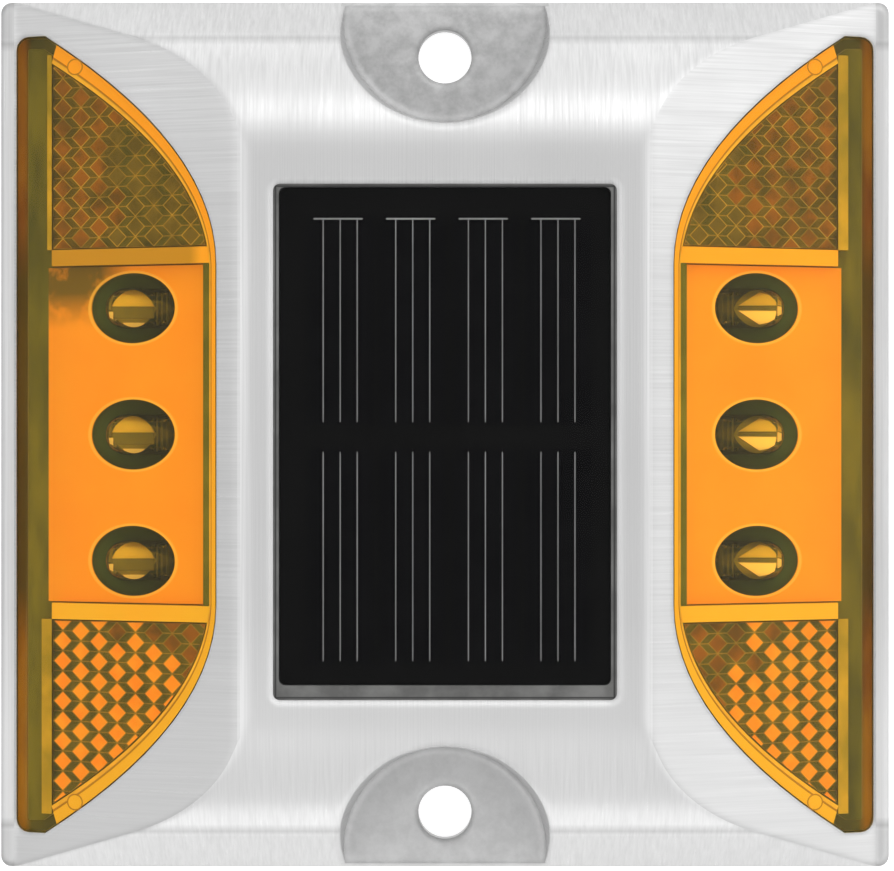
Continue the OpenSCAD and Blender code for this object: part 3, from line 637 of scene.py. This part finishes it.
def dress_cad_nodes():
    """Gives every CAD node that stays visible its material and its shading."""
    for name, material in CAD_LOOKS.items():
        node = NODES[name]
        node.data.materials.clear()
        node.data.materials.append(material)
        soften(node, SOFT_EDGES.get(name, 0.0), 25)


# ---------- lenses ----------

PEG = Vector((45.6 * MM, 45.3 * MM, 0))    # the upper one of the two locating pegs at the lens's ends
# radius of each disc of a peg, its height above the rim in hairs, and its material
PEG_DISCS = ((1.05 * MM, 0.35, "wall"), (0.88 * MM, 0.7, "rim"))
# the rim's lines, as shares of its width, and their materials
RIM_LINES = ((0.0, 0.66, "rim"), (0.67, 0.76, "wall"), (0.77, 1.0, "line"))
LENS_MATERIALS = {
    "clear": lens_clear, "rim": lens_rim, "wall": lens_wall, "line": lens_line, "inner": lens_inner,
    "lip": lens_lip,
}


def face_underside(x):
    """Underside of the clear face, which ends at the skirt."""
    return max(face_z(x) - drop(LENS_T), SKIRT_Z)


def under_face(x):
    """Top of what stands beneath the clear face, a hair below it."""
    return face_underside(x) - HAIR


def skirt(_):
    """The flat underside of the moulding, for Shape's functions of x."""
    return SKIRT_Z


def lens_piece(word, side):
    """Clear sloping face over the rim, the ribs and the walls of the moulding."""
    slots = {name: number for number, name in enumerate(LENS_MATERIALS)}
    rim_in = LENS_IN + LENS_GAP + RIM_W
    shape = Shape()
    shape.prism(lens_outline(LENS_GAP), face_z, face_underside, slots["clear"])
    stop = INNER_WALL_X + INNER_WALL_W
    for start, end, kind in RIM_LINES:
        outer = inner_edge(LENS_GAP + RIM_W * start, RIM_GROW * start, steps=60)
        inner = inner_edge(LENS_GAP + RIM_W * end, RIM_GROW * end, steps=60)
        kept = [(o, i) for o, i in zip(outer, inner) if min(o[0], i[0]) < INNER_WALL_X]
        shape.wall([(min(o[0], stop), o[1]) for o, i in kept], [(min(i[0], stop), i[1]) for o, i in kept],
                   under_face, skirt, slots[kind])
    # green lip between the rim and the tray: a raised sheet that stands in as painted light for the lit
    # pocket floor in the gap
    shape.prism(rectangle(rim_in + HAIR, -RIB_IN, tray_lo.x - HAIR, RIB_IN),
                lambda x: under_face(x) - 0.3 * MM, lambda x: under_face(x) - 1.5 * MM, slots["lip"])
    for up in (-1, 1):
        y0, y1 = sorted((up * RIB_IN, up * (RIB_IN + RIB_W)))
        shape.prism(rectangle(rim_in, y0, INNER_WALL_X, y1), under_face, skirt, slots["rim"])
        y0, y1 = sorted((up * (RIB_IN + RIB_W), up * (LENS_HALF - RIM_W - RIM_GROW)))
        thin = up > 0 and side == LEFT
        far = INNER_WALL_X + INNER_WALL_W * (1.0 if thin else 2.2)
        shape.prism(rectangle(INNER_WALL_X, y0, far, y1),
                    lambda x: under_face(x) - HAIR, skirt, slots["inner"])
        for radius, lift, kind in PEG_DISCS:
            disc = []
            for k in range(32):
                angle = 2 * math.pi * k / 32
                disc.append((PEG.x + radius * math.cos(angle), up * PEG.y + radius * math.sin(angle)))
            shape.prism(disc, lambda x: under_face(x) + lift * HAIR, skirt, slots[kind])
    return shape.build(f"lens_moulding_{word}", LENS_MATERIALS.values(), side, bevel=0.12 * MM)


# ---------- cube-corner inserts ----------

COLUMN = 2.33 * MM          # from one column of corners to the next, in plan
ROW = 2.475 * MM            # from one corner to the next along a column
HALF_W = 1.16 * MM          # half width of a diamond facet
RELIEF = 0.42 * MM          # height of a corner above and below the insert's middle
FIRST = (47.2 * MM, 25.46 * MM)
FACET_EDGE = 0.07 * MM      # width of the edge strip round each facet, a brighter painted highlight on some
INSERT_T = 2.0 * MM
ZONE = 14 * MM              # rough size of a zone, over which its tones change
PRISM_MATERIALS = {
    "bright": prism_painted_reflection, "painted_shade": prism_painted_shade, "valley": prism_valley, "valley_warm": prism_valley_warm,
    "edge": prism_edge, "olive": prism_olive, "edge_lit": prism_edge_lit,
}
PRISM = {name: number for number, name in enumerate(PRISM_MATERIALS)}


def clip(points, inside, cross):
    """Keeps the part of a plan polygon on one side of a straight or curved edge."""
    kept = []
    for a, b in zip(points, points[1:] + points[:1]):
        if inside(a):
            kept.append(a)
        if inside(a) != inside(b):
            kept.append(cross(a, b))
    return kept


def crossing(inside):
    """The point where a line between two points passes an edge, by halving."""
    def find(a, b):
        lo, hi = Vector(a), Vector(b)
        start = inside(a)
        for _ in range(18):
            mid = (lo + hi) / 2
            if inside(tuple(mid)) == start:
                lo = mid
            else:
                hi = mid
        return tuple((lo + hi) / 2)
    return find


def corner_facets():
    """Every facet of one zone, as three kinds of parallelogram with a height above the middle."""
    half = ROW / 2
    for column in range(-1, 12):
        cx = FIRST[0] - column * COLUMN
        shift = half if column % 2 else 0.0
        for row in range(-3, 12):
            cy = FIRST[1] + shift + row * ROW
            side_in, side_out = (cx - HALF_W, cy, -RELIEF), (cx + HALF_W, cy, RELIEF)
            tip_up, tip_down = (cx, cy + half, 0.0), (cx, cy - half, 0.0)
            yield "diamond", [side_out, tip_up, side_in, tip_down]
            far = cx - COLUMN
            next_out_up = (far + HALF_W, cy + half, RELIEF)
            next_out_down = (far + HALF_W, cy - half, RELIEF)
            next_tip = (far, cy, 0.0)
            yield "up", [side_in, tip_up, next_out_up, next_tip]
            yield "down", [side_in, next_tip, next_out_down, tip_down]


def facet_tone(diamond, up, side, middle):
    """Material of one facet: dark zones of painted shade towards the back of the lens, bright ones of
    painted reflection towards the front.
    """
    cloudy = noise.noise(Vector((middle.x, middle.y * up, 3.0 * side * MM)) / (3.2 * MM))
    inner_share = (FIRST[0] - middle.x) / ZONE
    if up > 0:
        olive = inner_share + 0.25 * cloudy > (0.5 if side == LEFT else 0.8)
        if diamond:
            return PRISM["olive" if olive else "painted_shade"]
        return PRISM["valley" if olive else "valley_warm"]
    near_rib = 1.0 - (middle.y - RIB_IN) / ZONE
    # painted shade on facets towards the inner side and the rib, varied by noise
    dim = 0.45 * cloudy + 0.75 * inner_share + 0.5 * near_rib > 0.88
    if diamond:
        return PRISM["painted_shade" if dim else "bright"]
    return PRISM["valley"]


def edge_gets_painted_highlight(middle, side):
    """Whether the facet's edges get the brighter painted highlight at this place, picked by noise."""
    return noise.noise(Vector((middle.x, middle.y, side * MM)) / (2.1 * MM)) > -0.08


def insert_floor(x):
    """Underside of the inserts."""
    return max(face_z(x) - drop(LENS_T + LENS_GAP + INSERT_T), SKIRT_Z)


def insert_edges():
    """Tests for a plan point, true on the inner side of each edge of a zone."""
    inset = LENS_GAP + RIM_W + LENS_GAP
    low_y = RIB_IN + RIB_W + LENS_GAP
    end_y = LENS_HALF - inset - RIM_GROW

    def in_curve(p):
        share = max(0.0, (p[1] - LENS_FLAT) / (end_y - LENS_FLAT))
        return p[0] > edge_x(p[1], inset + RIM_GROW * share)

    return [in_curve, lambda p: p[0] < INNER_WALL_X - LENS_GAP, lambda p: p[1] > low_y,
            lambda p: p[1] < end_y]


def facet_zone(up, side):
    """The facets of the zone at one end of the lens, each inset by an edge strip, some with a painted
    highlight.
    """
    depth = drop(LENS_T + LENS_GAP) + RELIEF + HAIR
    zone = bmesh.new()
    framed = []
    for kind, points in corner_facets():
        for inside in insert_edges():
            points = clip(points, inside, crossing(inside)) if points else points
        if len(points) < 3:
            continue
        diamond = kind == "diamond"
        middle = sum((Vector(p) for p in points), Vector()) / len(points)
        face = zone.faces.new([zone.verts.new((x, up * y, face_z(x) - depth + h)) for x, y, h in points])
        face.material_index = facet_tone(diamond, up, side, middle)
        if diamond and up > 0:
            framed.append((face, middle))
    bmesh.ops.remove_doubles(zone, verts=zone.verts[:], dist=0.02 * MM)
    bmesh.ops.dissolve_degenerate(zone, edges=zone.edges[:], dist=0.01 * MM)
    lit = [face for face, middle in framed if face.is_valid and edge_gets_painted_highlight(middle, side)]
    others = [face for face in zone.faces if face not in lit]
    bmesh.ops.recalc_face_normals(zone, faces=zone.faces[:])
    for group, kind in ((lit, "edge_lit"), (others, "edge")):
        rims = bmesh.ops.inset_individual(
            zone, faces=group, thickness=FACET_EDGE, use_even_offset=True)["faces"]
        for face in rims:
            face.material_index = PRISM[kind]
    return zone


def close_zone(zone):
    """Turns the facets into a plate, with walls and an underside."""
    border = [e for e in zone.edges if e.is_boundary]
    for part in bmesh.ops.extrude_edge_only(zone, edges=border)["geom"]:
        if isinstance(part, bmesh.types.BMVert):
            part.co.z = insert_floor(part.co.x)
    for face in zone.faces:
        middle = face.calc_center_median()
        if middle.z < insert_floor(middle.x) + 0.3 * MM:
            face.material_index = PRISM["valley"]
    bmesh.ops.contextual_create(zone, geom=[e for e in zone.edges if e.is_boundary])


def copy_in_order(zone, target):
    """Copies faces in an order that only their places decide, so that every run gives the same mesh."""
    def micron(v):
        return [round(part / (0.001 * MM)) for part in v.co]

    rank = {v: number for number, v in enumerate(sorted(zone.verts, key=micron))}
    copies = [target.verts.new(v.co) for v in rank]
    rings = []
    for face in zone.faces:
        ring = [rank[v] for v in face.verts]
        first = ring.index(min(ring))
        rings.append((ring[first:] + ring[:first], face.material_index))
    for ring, slot in sorted(rings):
        target.faces.new([copies[number] for number in ring]).material_index = slot


def insert_piece(word, side):
    """Two prism plates under the lens, one in each end of it."""
    shape = Shape()
    for up in (-1, 1):
        zone = facet_zone(up, side)
        close_zone(zone)
        copy_in_order(zone, shape.bm)
        zone.free()
    return shape.build(f"prism_insert_{word}", PRISM_MATERIALS.values(), side, smooth_angle=5)


# ---------- lamps ----------

LED_TILT = math.radians(6.3)    # of the lamp's axis above level
LED_R = 2.5 * MM
LED_FLANGE_R = 2.9 * MM
LED_FLANGE_T = 1.0 * MM
LED_FLANGE_EDGE = 0.1 * MM      # bevel of the flange
LED_STRAIGHT = 6.1 * MM         # from the base to where the dome begins
LED_SINK = 1.72 * MM            # of the axis below the tray face, at the middle of the cup
LED_CLEAR = 0.08 * MM           # between the dome and the lens
# how far along the axis the base lies from the middle of the cup, if the dome just clears the lens
LED_REACH = ((TRAY_DEPTH - LENS_T + LED_SINK * math.cos(BEVEL + LED_TILT) - LED_R - LED_CLEAR)
             / math.sin(BEVEL + LED_TILT) - LED_STRAIGHT)
LED_BASE = Vector((
    CUP_X + LED_SINK * math.sin(LED_TILT) + LED_REACH * math.cos(LED_TILT), 0,
    face_z(CUP_X) - drop(TRAY_DEPTH) - LED_SINK * math.cos(LED_TILT) + LED_REACH * math.sin(LED_TILT)))


def led_places():
    """Where each lamp of the right-hand side lies, with its axis along local Z."""
    for k in (-1, 0, 1):
        turn = Matrix.Rotation(math.pi / 2 - LED_TILT, 4, "Y")
        yield Matrix.Translation(LED_BASE + Vector((0, k * LED_PITCH, 0))) @ turn


def led_piece(word, side):
    """Clear domed lamps."""
    shape = Shape()
    dome = []
    for i in range(1, 12):
        angle = math.radians(90 * i / 12)
        dome.append((LED_R * math.cos(angle), LED_STRAIGHT + LED_R * math.sin(angle)))
    profile = [(0, 0), (LED_FLANGE_R - LED_FLANGE_EDGE, 0), (LED_FLANGE_R, LED_FLANGE_EDGE),
               (LED_FLANGE_R, LED_FLANGE_T - LED_FLANGE_EDGE),
               (LED_FLANGE_R - LED_FLANGE_EDGE, LED_FLANGE_T), (LED_R, LED_FLANGE_T),
               (LED_R, LED_STRAIGHT)]
    profile += dome + [(0, LED_STRAIGHT + LED_R)]
    for place in led_places():
        shape.revolve(profile, place, 0, steps=48)
    return shape.build(f"led_domes_{word}", [led_clear], side)


# lamp core tones: painted reflection, painted shade, an olive painted reflection and a painted glint
PAINTED_REFLECTION, SHADE, OLIVE, PAINTED_GLINT = range(4)
CORE_MATERIALS = (led_painted_reflection, led_shade, led_olive, led_painted_glint)
BLADE_T = 0.25 * MM


def blade(shape, place, points, height, slot):
    """A thin plate in a lamp. A point is a length from the base and a distance along Y."""
    across = place.inverted().to_3x3() @ Vector((0, 1, 0))
    up = Vector((-1, 0, 0))
    high, low = [
        [shape.bm.verts.new(place @ (Vector((0, 0, length)) + across * wide + up * level))
         for length, wide in points]
        for level in (height, height - BLADE_T)]
    count = len(points)
    sides = [[low[i], low[(i + 1) % count], high[(i + 1) % count], high[i]] for i in range(count)]
    shape.faces([high, list(reversed(low))] + sides, slot)


def sector(start, end, base, rise, steps=14):
    """A half-oval from one length to another, bulging to one side."""
    shares = [i / steps for i in range(steps + 1)]
    return [(start + (end - start) * t, base + rise * math.sin(math.pi * t) ** 0.7) for t in shares]


def core_parts(side):
    """Outline, height above the axis and material of what shows in one lamp, in millimetres."""
    yield sector(2.3, 8.0, 0.0, 2.3), -0.5, OLIVE
    yield sector(2.3, 8.0, -0.02, -2.3), -0.5, OLIVE
    if side == RIGHT:
        yield [(2.9, 0.37), (7.6, 0.37), (7.5, 0.95), (6.7, 1.65), (5.5, 2.0)], 0.0, PAINTED_REFLECTION
        yield [(2.9, -0.25), (5.5, -1.98), (6.7, -1.7), (7.4, -1.3), (7.6, -0.3)], 0.0, PAINTED_GLINT
        yield [(2.9, -0.2), (7.6, -0.2), (7.6, 0.3), (2.9, 0.3)], -0.1, SHADE
        yield [(7.75, -0.95), (8.25, -0.7), (8.25, 0.2), (7.75, 0.3)], 0.3, PAINTED_GLINT
        yield [(7.75, 0.4), (8.25, 0.3), (8.2, 0.85), (7.75, 1.3)], 0.1, PAINTED_REFLECTION
    else:
        yield sector(2.6, 7.8, 0.25, 2.05), 0.0, PAINTED_REFLECTION
        yield [(2.6, -1.25), (7.5, -1.25), (7.8, -0.6), (7.8, 0.2), (2.6, 0.2)], 0.0, SHADE
        yield sector(3.7, 6.5, -1.75, -0.55), 0.0, PAINTED_GLINT
        yield [(7.65, -1.35), (8.1, -1.1), (8.2, -0.4), (7.65, -0.4)], 0.3, PAINTED_GLINT
        yield [(7.95, -0.2), (8.2, -0.2), (8.1, 1.0), (7.7, 1.6), (7.6, 1.5)], 0.1, OLIVE
    for length in (0.9, 1.5, 2.1):
        half = 1.55 + 0.25 * length
        yield rectangle(length, -half, length + 0.22, half), -0.3, SHADE


def led_core_piece(word, side):
    """What shows inside the clear lamps: the lead frame's blades and the moulded light cone, coloured as
    painted reflections, a painted glint and painted shade.
    """
    shape = Shape()
    for place in led_places():
        for points, height, slot in core_parts(side):
            blade(shape, place, [(length * MM, wide * MM) for length, wide in points], height * MM, slot)
    return shape.build(f"led_cores_{word}", CORE_MATERIALS, side, bevel=0.05 * MM)


# ---------- panel face ----------

def panel_face_piece():
    """The clear cast face of the panel, just above the cells and their contact lines."""
    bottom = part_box("cell_fingers")[1].z + HAIR
    corner = 0.9 * MM
    outline = []
    for k, (x, y) in enumerate(((panel_hi.x, panel_hi.y), (panel_lo.x, panel_hi.y),
                                (panel_lo.x, panel_lo.y), (panel_hi.x, panel_lo.y))):
        middle = (x - math.copysign(corner, x), y - math.copysign(corner, y))
        for i in range(7):
            angle = math.radians(90 * k + 15 * i)
            outline.append((middle[0] + corner * math.cos(angle), middle[1] + corner * math.sin(angle)))
    shape = Shape()
    shape.prism(outline, lambda x: panel_hi.z, lambda x: bottom, 0)
    return shape.build("panel_face", [panel_clear], bevel=0.08 * MM)


# ---------- assembly ----------

def build_pieces():
    """Adds the pieces that stand in for CAD nodes, and what shows inside the lamps."""
    face = panel_face_piece()
    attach(face, "marker")
    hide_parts("panel_resin")
    for word, side in SIDES:
        lens = lens_piece(word, side)
        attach(lens, "marker")
        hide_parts(f"lens_{word}")
        insert = insert_piece(word, side)
        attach(insert, "marker")
        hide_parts(f"reflex_insert_{word}")
        domes = led_piece(word, side)
        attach(domes, "marker")
        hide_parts(f"leds_{word}")
        cores = led_core_piece(word, side)
        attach(cores, "marker")


# ---------- stage ----------

def floor_stage():
    """White paper just below the marker."""
    look = Look("stage_paper", (0.4, 0.4, 0.4), 0.9, specular=0.1)
    look.shader.inputs["Emission Color"].default_value = (1, 1, 1, 1)
    look.shader.inputs["Emission Strength"].default_value = 0.85
    mesh = bpy.data.meshes.new("stage_floor")
    reach = 3.0
    corners = [(x, y, 0) for x, y in rectangle(-reach, -reach, reach, reach)]
    mesh.from_pydata(corners, [], [(0, 1, 2, 3)])
    mesh.materials.append(look.material)
    floor = bpy.data.objects.new("stage_floor", mesh)
    floor.location.z = cad_box[0][2] - 0.05 * MM
    bpy.context.scene.collection.objects.link(floor)


def area_light(name, place, aim, size, power):
    """A rectangular light pointed at a place."""
    data = bpy.data.lights.new(name, "AREA")
    data.shape = "RECTANGLE"
    data.size, data.size_y = size
    data.energy = power
    light = bpy.data.objects.new(name, data)
    light.location = place
    light.rotation_euler = (Vector(aim) - Vector(place)).to_track_quat("-Z", "Y").to_euler()
    bpy.context.scene.collection.objects.link(light)


# sine of the height above the horizon, and brightness there
SKY = [(0.0, 0.95), (0.12, 1.0), (0.30, 1.02), (0.55, 1.0), (0.82, 0.95), (0.93, 0.8), (1.0, 0.62)]


def world_light():
    """A pale studio, darkest overhead, brighter towards the back and the right."""
    world = bpy.data.worlds.new("studio")
    bpy.context.scene.world = world
    world.use_nodes = True
    nodes, links = world.node_tree.nodes, world.node_tree.links
    back = nodes["Background"]
    coords = nodes.new("ShaderNodeTexCoord")
    split = nodes.new("ShaderNodeSeparateXYZ")
    links.new(coords.outputs["Generated"], split.inputs[0])
    ramp = nodes.new("ShaderNodeValToRGB")
    links.new(split.outputs["Z"], ramp.inputs["Fac"])
    stops = ramp.color_ramp.elements
    stops[0].position, stops[1].position = SKY[0][0], SKY[-1][0]
    for position, value in SKY[1:-1]:
        stops.new(position)
    for stop, (position, value) in zip(stops, SKY):
        stop.position = position
        stop.color = (value, value, value, 1)
    strength = nodes.new("ShaderNodeMath")
    strength.operation = "MULTIPLY"
    # axis, where its change begins and ends, and the strength there
    leans = (("Y", -0.9, 0.7, 0.95, 1.3), ("X", -0.9, 0.9, 0.66, 1.28))
    for socket, (axis, low, high, dim, bright) in zip(strength.inputs, leans):
        lean = nodes.new("ShaderNodeMapRange")
        lean.inputs["From Min"].default_value = low
        lean.inputs["From Max"].default_value = high
        lean.inputs["To Min"].default_value = dim
        lean.inputs["To Max"].default_value = bright
        links.new(split.outputs[axis], lean.inputs["Value"])
        links.new(lean.outputs["Result"], socket)
    links.new(strength.outputs[0], back.inputs["Strength"])
    links.new(ramp.outputs["Color"], back.inputs["Color"])


def camera():
    """A long lens straight above, with the back of the marker at the top of the picture."""
    data = bpy.data.cameras.new("camera")
    data.sensor_width = 36.0
    data.lens = 226.5
    data.clip_end = 20
    cam = bpy.data.objects.new("camera", data)
    cam.location = (0.25 * MM, -0.12 * MM, 0.7)
    bpy.context.scene.collection.objects.link(cam)
    bpy.context.scene.camera = cam


camera()
bpy.context.scene.view_settings.view_transform = "Standard"
world_light()
area_light("key", (0.25, 0.75, 0.9), (0, 0, 0.01), (0.7, 0.5), 1.0)
area_light("fill", (-0.7, -0.1, 0.8), (0, 0, 0.01), (1.3, 1.4), 2.6)
floor_stage()
dress_cad_nodes()
build_pieces()
